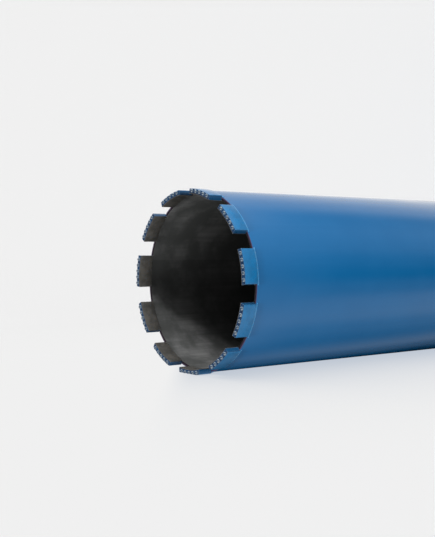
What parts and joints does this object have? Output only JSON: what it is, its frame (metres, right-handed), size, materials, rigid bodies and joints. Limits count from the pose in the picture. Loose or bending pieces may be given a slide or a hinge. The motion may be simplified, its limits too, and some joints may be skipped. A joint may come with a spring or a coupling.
{
  "type": "diamond core bit",
  "caption": "Long blue steel tube with a crown of nubbed cutting segments round its open mouth, closed at the rear by a plate with a threaded hexagonal hub.",
  "frame": {"origin": "centre of the hub's end face, on which the bit stands", "axes": "+Z along the turning axis from the hub to the crown; +X through the middle of segment_01"},
  "size_m": [0.1317, 0.132, 0.496],
  "materials": {
    "blue_paint": "smooth gloss blue paint on drawn steel tube",
    "segment": "thin blue paint over sintered metal, bare and brownish grey on the inner face",
    "turned_steel": "turned and milled bright steel"
  },
  "bodies": {
    "root": {"barrel": "blue_paint", "segment_01": "segment", "segment_02": "segment", "segment_03": "segment", "segment_04": "segment", "segment_05": "segment", "segment_06": "segment", "segment_07": "segment", "segment_08": "segment", "segment_09": "segment", "segment_10": "segment", "segment_11": "segment", "back_plate": "blue_paint", "hub": "turned_steel"}
  },
  "joints": []
}
